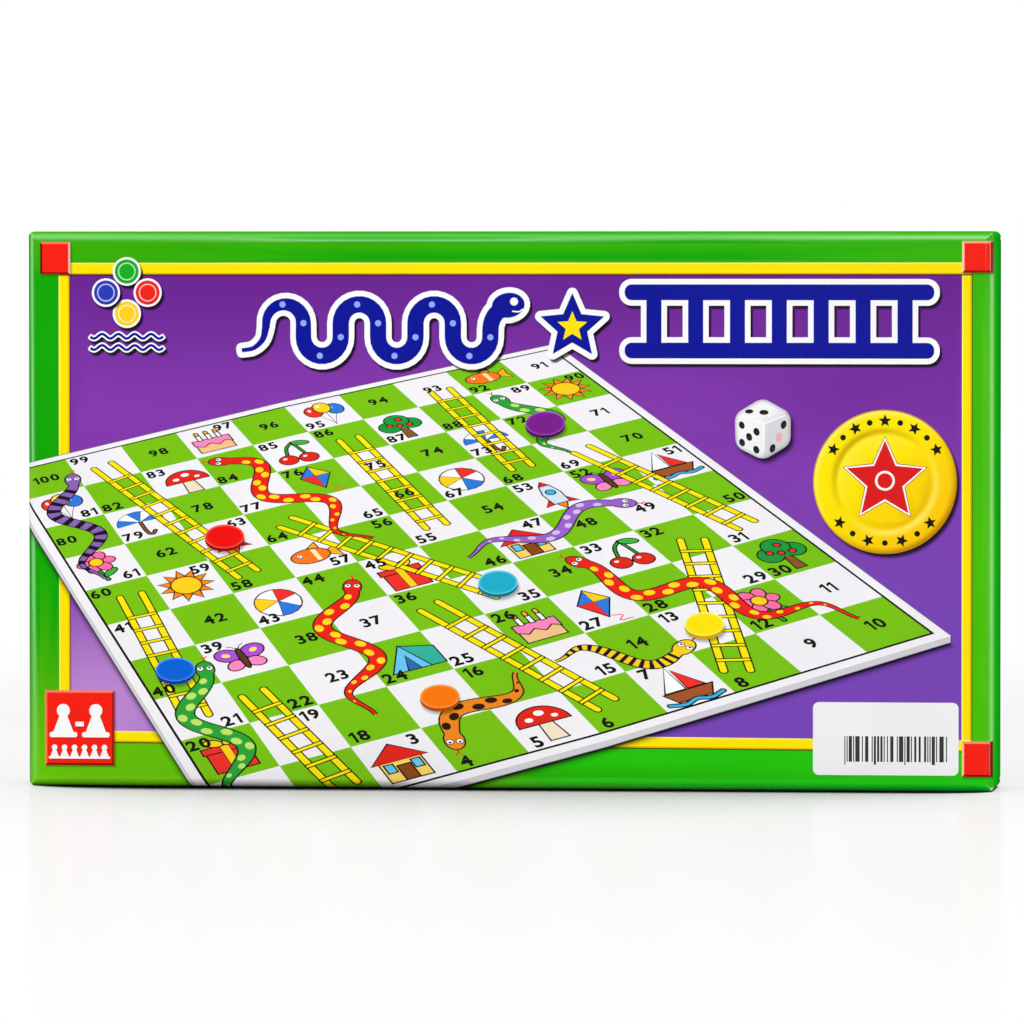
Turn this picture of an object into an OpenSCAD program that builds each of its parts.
// A snakes and ladders game in its closed box, standing on its long edge.
// The box lifts apart into a lid, a base and a formed plastic tray. The tray holds a playing board
// that folds in half, six counters in round wells and a die.
// Every piece is drawn lying on its back: x runs across the box, y up it and z towards its front.
// upright() then stands it up, so that the front faces -Y.

/* [Playing board] */
// Side of the open playing board, which is square
board_side = 316; // [216:2:356]
// Thickness of the grey board in each half
core_t = 2; // [1.2:0.1:3]
// Thickness of the printed playing sheet
sheet_t = 0.15; // [0.1:0.05:0.4]
// Thickness of the white paper that lines the back and the edges
lining_t = 0.15; // [0.1:0.05:0.4]
// Radius of the playing board's four corners
board_corner_r = 2; // [1:0.5:4]
// Slit between the two halves when the board lies open
fold_slit = 0.6; // [0.2:0.1:1.2]
// Gap between the two printed faces when the board is folded
face_gap = 0.2; // [0.1:0.05:0.6]

/* [Counters and die] */
// Diameter of a counter
counter_d = 16; // [12:0.5:20]
// Thickness of a counter
counter_t = 3; // [2:0.1:4]
// Rounding of a counter's edge
counter_edge_r = 0.9; // [0.3:0.1:0.9]
// Width of the raised rim round a counter
counter_rim_w = 1.9; // [1.2:0.1:3]
// Depth of the dish inside that rim
counter_dish = 0.5; // [0.2:0.1:0.7]
// Side of the die
die_side = 16; // [12:0.5:18]
// Rounding of the die's edges
die_edge_r = 1.6; // [0.5:0.1:2]
// Diameter of the ball that rounds off the die's corners
die_ball_d = 24.6; // [23.6:0.1:26]
// Diameter of a pip
pip_d = 3; // [2:0.1:3.4]
// Diameter of the single pip on the one
ace_d = 5; // [3:0.1:6]
// Depth of a pip
pip_depth = 0.5; // [0.3:0.1:0.8]
// Distance from the middle of a face to its outer pips
pip_step = 4.2; // [3.2:0.1:4.4]

/* [Tray] */
// Thickness of the formed plastic sheet
film_t = 0.8; // [0.4:0.1:1.2]
// Height of the tray, from its foot to its top face
tray_depth = 31.4; // [24:0.2:45]
// Width of the top face beside the board's recess
flange_w = 4.5; // [3.5:0.1:8]
// Land left beside the widest well in the strip of wells
strip_land = 1.1; // [0.8:0.1:4]
// Radius of the recess's corners
recess_corner_r = 4; // [3:0.5:8]
// Radius of the tray's own corners
tray_corner_r = 6; // [3:0.5:10]
// Slope of the formed walls of the round wells and pillars, in degrees
draft = 4; // [1:0.5:8]
// Radius of the thumb notch at the edge of the board
thumb_r = 12; // [9:0.5:14]
// Depth of the thumb notch below the top face
thumb_depth = 12; // [9:0.5:16]
// Radius of the mouth of each pillar that carries the recess
pillar_r = 15; // [10:0.5:20]
// Number of pillars
pillars = 3; // [2:1:4]
// Radius of the flutes that stiffen the tray's outer walls
flute_r = 3; // [2:0.5:5]
// Depth of those flutes
flute_depth = 1.2; // [0.6:0.1:1.4]

/* [Box] */
// Thickness of the laminated board that the lid and the base are folded from
wall_t = 1.5; // [1:0.1:2.5]
// Radius of the lid's folded front edges
lid_fold_r = 3; // [2.6:0.1:4]
// Radius of the lid's corners, seen from the front
lid_corner_r = 2.2; // [1:0.1:2.5]
// Radius of the base's folded back edges
base_fold_r = 2.6; // [2.6:0.1:4]
// Radius of the base's corners, seen from the back
base_corner_r = 1; // [0.5:0.1:2]
// Height that the lid's walls stop short of the back face
rim_step = 0.5; // [0.3:0.1:4]
// Width of the open seam where two walls meet at a corner
seam_w = 0.4; // [0.2:0.1:0.8]
// Depth of that seam
seam_depth = 0.4; // [0.2:0.1:0.8]

/* [Price label] */
// Width of the blank label
label_w = 50; // [30:1:60]
// Height of the label
label_h = 25; // [15:1:40]
// Thickness of the label
label_t = 0.1; // [0.05:0.05:0.3]
// Radius of the label's corners
label_corner_r = 2; // [0.5:0.5:4]
// Distance from the label to the lid's right side
label_right = 12; // [5:0.1:60]
// Distance from the label to the lid's lower side
label_below = 5.6; // [4:0.1:60]

/* [Clearances] */
// Gap round the folded board in its recess
recess_clear = 1; // [0.5:0.1:2]
// Gap round a counter or the die in its well
well_clear = 0.5; // [0.3:0.1:1]
// Gap between the tray and the base's walls
tray_clear = 0.5; // [0.3:0.1:1.5]
// Gap between the base's walls and the lid's walls
lid_clear = 0.5; // [0.3:0.1:1.5]
// Gap between a piece and the floor that it sits on
seat_gap = 0.3; // [0.2:0.05:0.5]
// Height that counters and die stand out of the tray's top face
proud = 0.9; // [0.4:0.1:1.5]
// Gap between the counters and the inside of the lid
cover_gap = 0.4; // [0.2:0.1:1.5]
// Depth from the tray's top face down to the folded board
board_sink = 0.9; // [0.2:0.1:2]

/* [Hidden] */
$fn = 96;
// Run of a cutting shape past the face that it cuts
overrun = 1;
// The six counters: name of the piece and its colour
COUNTERS = [
    ["counter_red", "#F0120E"],
    ["counter_yellow", "#FFE60A"],
    ["counter_blue", "#0A62D8"],
    ["counter_orange", "#FF7A0C"],
    ["counter_light_blue", "#1FAFCB"],
    ["counter_purple", "#7A1E8C"]
];
// Places along the strip of wells: the counters, the thumb notch and the die
strip_places = len(COUNTERS) + 2;
thumb_place = len(COUNTERS);
die_place = len(COUNTERS) + 1;

// Bays between the flutes on each short side of the tray
side_bays = strip_places / 2;

// Playing board, open and folded
half_h = board_side / 2;
panel_h = half_h - fold_slit / 2;
panel_t = lining_t + core_t + sheet_t;
stack_t = 2 * panel_t + face_gap;

// Pockets of the tray
recess_w = board_side + 2 * recess_clear;
recess_h = half_h + 2 * recess_clear;
recess_depth = board_sink + stack_t + seat_gap;
well_depth = counter_t + seat_gap - proud;
well_r = counter_d / 2 + well_clear;
well_mouth_r = well_r + well_depth * tan(draft);
die_well_w = die_side + 2 * well_clear;
die_well_depth = die_side + seat_gap - proud;
strip_h = max(2 * well_mouth_r, die_well_w) + 2 * strip_land;

// Outer sizes, from the tray out to the lid
tray_w = recess_w + 2 * flange_w;
tray_h = strip_h + recess_h + flange_w;
base_w = tray_w + 2 * tray_clear + 2 * wall_t;
base_h = tray_h + 2 * tray_clear + 2 * wall_t;
box_w = base_w + 2 * lid_clear + 2 * wall_t;
box_h = base_h + 2 * lid_clear + 2 * wall_t;

// Levels, from the back of the box to its front
tray_foot_z = wall_t + seat_gap;
tray_top_z = tray_foot_z + tray_depth;
recess_floor_z = tray_top_z - recess_depth;
fold_z = recess_floor_z + seat_gap + stack_t / 2;
cover_z = tray_top_z + proud + cover_gap;
box_d = cover_z + wall_t;
base_d = cover_z - seat_gap;
lid_d = box_d - rim_step;

// Heights, from the lower side of the box up
base_y = wall_t + lid_clear;
tray_y = base_y + wall_t + tray_clear;
strip_y = tray_y + strip_h / 2;
recess_y = tray_y + strip_h;
fold_y = recess_y + recess_clear + half_h;
slot_pitch = tray_w / strip_places;
pillar_pitch = recess_w / (pillars + 1);

// Stands a piece that was drawn on its back on its long edge
module upright() {
    translate([0, box_d / 2, 0]) rotate([90, 0, 0]) children();
}

// Middle of one of the places along the strip of wells
function slot_x(place) = (place + 1 / 2) * slot_pitch - tray_w / 2;

// Rectangle centred on the origin, with four round corners
module round_rect(w, h, r) {
    square([w - 2 * r, h], center = true);
    square([w, h - 2 * r], center = true);
    for (x = [-1, 1], y = [-1, 1])
        translate([x * (w / 2 - r), y * (h / 2 - r)]) circle(r);
}

// Rectangle from the x axis up to h, with its two upper corners round
module arch_rect(w, h, r) {
    translate([-w / 2, 0]) square([w, h - r]);
    translate([r - w / 2, 0]) square([w - 2 * r, h]);
    for (x = [-1, 1]) translate([x * (w / 2 - r), h - r]) circle(r);
}

// Block whose front edges are folded round, with mitred corners
module folded_block(w, h, d, fold_r, corner_r) {
    intersection() {
        linear_extrude(d) round_rect(w, h, corner_r);
        translate([0, h / 2, 0]) rotate([90, 0, 0]) linear_extrude(h) arch_rect(w, d, fold_r);
        translate([-w / 2, 0, 0]) rotate([90, 0, 90]) linear_extrude(w) arch_rect(h, d, fold_r);
    }
}

// Half of the box: a front panel and four walls, open behind, with a seam at each corner.
// The board is creased before it is folded, so the folds are sharper inside.
module folded_shell(w, h, d, fold_r, corner_r) {
    difference() {
        folded_block(w, h, d, fold_r, corner_r);
        translate([0, 0, -overrun])
            folded_block(w - 2 * wall_t, h - 2 * wall_t, d - wall_t + overrun,
                (fold_r - wall_t) / 2, corner_r / 2);
        for (x = [-1, 1], y = [-1, 1])
            translate([x * (w / 2 - seam_depth / 2), y * (h / 2 - corner_r - seam_w / 2), 0])
                linear_extrude(2 * (d - fold_r), center = true)
                    square([seam_depth, seam_w], center = true);
    }
}

module lid_shell() {
    color("#14AF14") upright()
        translate([0, box_h / 2, rim_step])
            folded_shell(box_w, box_h, lid_d, lid_fold_r, lid_corner_r);
}

module price_label() {
    color("#F6F6F6") upright()
        translate([box_w / 2 - label_right - label_w / 2, label_below + label_h / 2, box_d])
            linear_extrude(label_t) round_rect(label_w, label_h, label_corner_r);
}

module base_shell() {
    color("#0F8A14") upright()
        translate([0, box_h / 2, base_d]) mirror([0, 0, 1])
            folded_shell(base_w, base_h, base_d, base_fold_r, base_corner_r);
}

// Round pocket down from z = 0, narrower at its floor by the draft
module draft_pocket(mouth_r, depth) {
    translate([0, 0, -depth]) cylinder(h = depth, r1 = mouth_r - depth * tan(draft), r2 = mouth_r);
}

// The spaces pressed down into the sheet, with walls moved out by skin and floors down by skin.
// rise is how far their mouths run on above the face that each is pressed into.
module tray_pockets(skin, rise) {
    // recess of the folded board
    translate([0, recess_y + recess_h / 2, recess_floor_z - skin])
        linear_extrude(recess_depth + skin + rise)
            round_rect(recess_w + 2 * skin, recess_h + 2 * skin, recess_corner_r + skin);
    // wells of the counters
    for (place = [0 : len(COUNTERS) - 1]) translate([slot_x(place), strip_y, tray_top_z]) {
        draft_pocket(well_mouth_r + skin, well_depth + skin);
        cylinder(h = rise, r = well_mouth_r + skin);
    }
    // well of the die
    translate([slot_x(die_place), strip_y, tray_top_z - die_well_depth - skin])
        linear_extrude(die_well_depth + skin + rise)
            round_rect(die_well_w + 2 * skin, die_well_w + 2 * skin, die_edge_r + skin);
    // thumb notch, half of it under the lower edge of the board
    translate([slot_x(thumb_place), recess_y, tray_top_z]) {
        draft_pocket(thumb_r + skin, thumb_depth + skin);
        cylinder(h = rise, r = thumb_r + skin);
    }
    // pillars that stand on the floor of the base and carry the recess
    pillar_depth = recess_floor_z - tray_foot_z - film_t;
    for (i = [1 : pillars])
        translate([i * pillar_pitch - recess_w / 2, recess_y + recess_h / 2, recess_floor_z]) {
            draft_pocket(pillar_r + skin, pillar_depth + skin);
            cylinder(h = rise, r = pillar_r + skin);
        }
}

// Upright flutes round the outer walls, with their walls moved in by skin
module tray_flutes(skin) {
    out = flute_r - flute_depth;
    for (i = [1 : strip_places - 1], y = [tray_y - out, tray_y + tray_h + out])
        translate([i * slot_pitch - tray_w / 2, y, tray_foot_z])
            cylinder(h = tray_depth, r = flute_r + skin);
    for (i = [1 : side_bays - 1], x = [-1, 1])
        translate([x * (tray_w / 2 + out), tray_y + i * tray_h / side_bays, tray_foot_z])
            cylinder(h = tray_depth, r = flute_r + skin);
}

// Outer form of the tray before anything is pressed into it
module tray_block(skin) {
    translate([0, tray_y + tray_h / 2, tray_foot_z])
        linear_extrude(tray_depth - skin)
            round_rect(tray_w - 2 * skin, tray_h - 2 * skin, tray_corner_r - skin);
}

// Vacuum-formed sheet of even thickness: open below, with pockets pressed down from above
module insert_tray() {
    color("#F2F2EE") upright() difference() {
        union() {
            difference() {
                tray_block(0);
                translate([0, 0, -overrun]) tray_block(film_t);
                tray_block(film_t);
            }
            intersection() {
                tray_block(0);
                union() {
                    tray_pockets(film_t, 0);
                    tray_flutes(film_t);
                }
            }
        }
        tray_pockets(0, overrun);
        tray_flutes(0);
    }
}

// One half of the playing board, from the fold down, with its printed face at z = 0
module half_outline(inset) {
    translate([0, -fold_slit / 2]) mirror([0, 1])
        arch_rect(board_side - 2 * inset, panel_h - inset, board_corner_r - inset);
}

module half_sheet() {
    translate([0, 0, -sheet_t]) linear_extrude(sheet_t) half_outline(0);
}

module half_core() {
    translate([0, 0, -sheet_t - core_t]) linear_extrude(core_t) half_outline(lining_t);
}

module half_lining() {
    difference() {
        translate([0, 0, -panel_t]) linear_extrude(panel_t - sheet_t) half_outline(0);
        translate([0, 0, -sheet_t - core_t])
            linear_extrude(core_t + overrun) core_opening();
    }
}

// The core's outline, run on past the fold, so that the lining stays open there
module core_opening() {
    half_outline(lining_t);
    translate([lining_t - board_side / 2, -fold_slit / 2 - overrun])
        square([board_side - 2 * lining_t, 2 * overrun]);
}

// Places of the two halves in the folded board
module rear_half() {
    upright() translate([0, fold_y, fold_z - face_gap / 2]) children();
}

module front_half() {
    upright() translate([0, fold_y, fold_z + face_gap / 2]) mirror([0, 0, 1]) children();
}

module board_rear_core() {
    color("#9A958C") rear_half() half_core();
}

module board_rear_lining() {
    color("#F5F3F7") rear_half() half_lining();
}

module playing_sheet_rear() {
    color("#7AC414") rear_half() half_sheet();
}

module board_front_core() {
    color("#9A958C") front_half() half_core();
}

module board_front_lining() {
    color("#F5F3F7") front_half() half_lining();
}

module playing_sheet_front() {
    color("#7AC414") front_half() half_sheet();
}

// Half section of a counter: a round edge and a shallow dish inside a raised rim
module counter_section() {
    r = counter_d / 2;
    dish_r = r - counter_rim_w;
    difference() {
        union() {
            square([r - counter_edge_r, counter_t]);
            translate([0, counter_edge_r]) square([r, counter_t - 2 * counter_edge_r]);
            for (z = [counter_edge_r, counter_t - counter_edge_r])
                translate([r - counter_edge_r, z]) circle(counter_edge_r);
        }
        polygon([
            [0, counter_t + overrun],
            [dish_r + overrun, counter_t + overrun],
            [dish_r - counter_dish, counter_t - counter_dish],
            [0, counter_t - counter_dish]
        ]);
    }
}

// The counter at one of the six places along the strip
module counter(place) {
    color(COUNTERS[place][1]) upright()
        translate([slot_x(place), strip_y, tray_top_z - well_depth + seat_gap])
            rotate_extrude() counter_section();
}

// Steps from the middle of a face to the pips of one of its six numbers
function pip_steps(number) = concat(
    number % 2 == 1 ? [[0, 0]] : [],
    number > 1 ? [[-1, -1], [1, 1]] : [],
    number > 3 ? [[-1, 1], [1, -1]] : [],
    number == 6 ? [[-1, 0], [1, 0]] : []
);

// The dimples of one number, in a face at height die_side / 2
module pips(number) {
    d = number == 1 ? ace_d : pip_d;
    ball_r = (d * d / 4 + pip_depth * pip_depth) / (2 * pip_depth);
    for (step = pip_steps(number))
        translate([step.x * pip_step, step.y * pip_step, die_side / 2 + ball_r - pip_depth])
            sphere(ball_r);
}

// Cube with round edges, whose corners are turned off by a ball
module die_body() {
    intersection() {
        intersection_for(turn = [[0, 0, 0], [90, 0, 0], [0, 90, 0]])
            rotate(turn) linear_extrude(die_side, center = true)
                round_rect(die_side, die_side, die_edge_r);
        sphere(d = die_ball_d);
    }
}

// Opposite faces of the die add up to seven
module die() {
    color("#F4F4F2") upright()
        translate([slot_x(die_place), strip_y,
                tray_top_z - die_well_depth + seat_gap + die_side / 2])
            difference() {
                die_body();
                pips(5);
                rotate([180, 0, 0]) pips(2);
                rotate([90, 0, 0]) pips(1);
                rotate([-90, 0, 0]) pips(6);
                rotate([0, 90, 0]) pips(3);
                rotate([0, -90, 0]) pips(4);
            }
}

base_shell();
insert_tray();
board_rear_core();
board_rear_lining();
playing_sheet_rear();
board_front_core();
board_front_lining();
playing_sheet_front();
for (place = [0 : len(COUNTERS) - 1])
    counter(place);
die();
lid_shell();
price_label();
